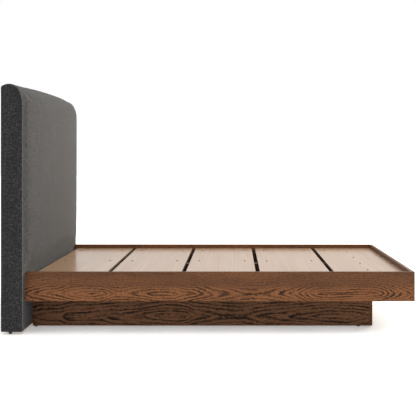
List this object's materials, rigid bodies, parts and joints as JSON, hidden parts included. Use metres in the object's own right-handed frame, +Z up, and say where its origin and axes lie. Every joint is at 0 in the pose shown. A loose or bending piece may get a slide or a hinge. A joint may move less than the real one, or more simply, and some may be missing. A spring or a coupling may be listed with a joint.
{
  "type": "platform bed",
  "caption": "Low queen-size platform bed with a tall upholstered headboard, timber rails, a slatted panel deck and a recessed plinth.",
  "frame": {"origin": "on the floor, under the middle of the whole bed's outline, headboard included", "axes": "+Z up, +Y towards the headboard, +X to the right of somebody who stands at the foot end and looks at the headboard"},
  "size_m": [1.7, 2.177, 1.309],
  "materials": {
    "charcoal_fabric": "matte",
    "stained_oak": "satin",
    "deck_ply": "satin",
    "frame_timber": "matte",
    "raw_ply": "matte",
    "hardboard": "matte",
    "foam": "matte",
    "wadding": "matte",
    "brass": "satin",
    "black_steel": "matte",
    "zinc_steel": "satin",
    "foot_nylon": "matte"
  },
  "bodies": {
    "bed": {"bracket_bolts": "zinc_steel", "corner_block_left": "frame_timber", "corner_block_right": "frame_timber", "deck_panel_1": "deck_ply", "deck_panel_2": "deck_ply", "deck_panel_3": "deck_ply", "deck_panel_4": "deck_ply", "deck_panel_5": "deck_ply", "deck_screws": "brass", "foot_inserts": "brass", "foot_ledger": "frame_timber", "foot_rail": "stained_oak", "frame_screws": "zinc_steel", "headboard_back_board": "hardboard", "headboard_bottom_rail": "frame_timber", "headboard_cover_back": "charcoal_fabric", "headboard_cover_front": "charcoal_fabric", "headboard_cover_left": "charcoal_fabric", "headboard_cover_right": "charcoal_fabric", "headboard_fixing_rail": "frame_timber", "headboard_foam": "foam", "headboard_front_board": "raw_ply", "headboard_noggin_centre": "frame_timber", "headboard_noggin_left": "frame_timber", "headboard_noggin_right": "frame_timber", "headboard_packing_board": "raw_ply", "headboard_post_left": "frame_timber", "headboard_post_right": "frame_timber", "headboard_stud_left": "frame_timber", "headboard_stud_right": "frame_timber", "headboard_top_rail": "frame_timber", "headboard_wadding_left": "wadding", "headboard_wadding_right": "wadding", "plinth_back": "frame_timber", "plinth_block_back_left": "frame_timber", "plinth_block_back_right": "frame_timber", "plinth_block_front_left": "frame_timber", "plinth_block_front_right": "frame_timber", "plinth_front": "stained_oak", "plinth_screws": "zinc_steel", "plinth_side_left": "stained_oak", "plinth_side_right": "stained_oak", "plinth_spine": "frame_timber", "plinth_spine_batten": "frame_timber", "rail_bracket_left": "black_steel", "rail_bracket_right": "black_steel", "side_ledger_left": "frame_timber", "side_ledger_right": "frame_timber", "side_rail_left": "stained_oak", "side_rail_right": "stained_oak"},
    "foot_plinth_head_left": {"foot_plinth_head_left": "foot_nylon"},
    "foot_plinth_head_right": {"foot_plinth_head_right": "foot_nylon"},
    "foot_plinth_end_left": {"foot_plinth_end_left": "foot_nylon"},
    "foot_plinth_end_right": {"foot_plinth_end_right": "foot_nylon"},
    "foot_spine_head": {"foot_spine_head": "foot_nylon"},
    "foot_spine_end": {"foot_spine_end": "foot_nylon"},
    "foot_headboard_left": {"foot_headboard_left": "foot_nylon"},
    "foot_headboard_right": {"foot_headboard_right": "foot_nylon"}
  },
  "joints": [
    {"name": "plinth_head_left_foot_height", "type": "slide", "parent": "bed", "child": "foot_plinth_head_left", "axis": [0, 0, 1], "range_m": [-0.01, 0]},
    {"name": "plinth_head_right_foot_height", "type": "slide", "parent": "bed", "child": "foot_plinth_head_right", "axis": [0, 0, 1], "range_m": [-0.01, 0]},
    {"name": "plinth_end_left_foot_height", "type": "slide", "parent": "bed", "child": "foot_plinth_end_left", "axis": [0, 0, 1], "range_m": [-0.01, 0]},
    {"name": "plinth_end_right_foot_height", "type": "slide", "parent": "bed", "child": "foot_plinth_end_right", "axis": [0, 0, 1], "range_m": [-0.01, 0]},
    {"name": "spine_head_foot_height", "type": "slide", "parent": "bed", "child": "foot_spine_head", "axis": [0, 0, 1], "range_m": [-0.01, 0]},
    {"name": "spine_end_foot_height", "type": "slide", "parent": "bed", "child": "foot_spine_end", "axis": [0, 0, 1], "range_m": [-0.01, 0]},
    {"name": "headboard_left_foot_height", "type": "slide", "parent": "bed", "child": "foot_headboard_left", "axis": [0, 0, 1], "range_m": [-0.01, 0]},
    {"name": "headboard_right_foot_height", "type": "slide", "parent": "bed", "child": "foot_headboard_right", "axis": [0, 0, 1], "range_m": [-0.01, 0]}
  ]
}
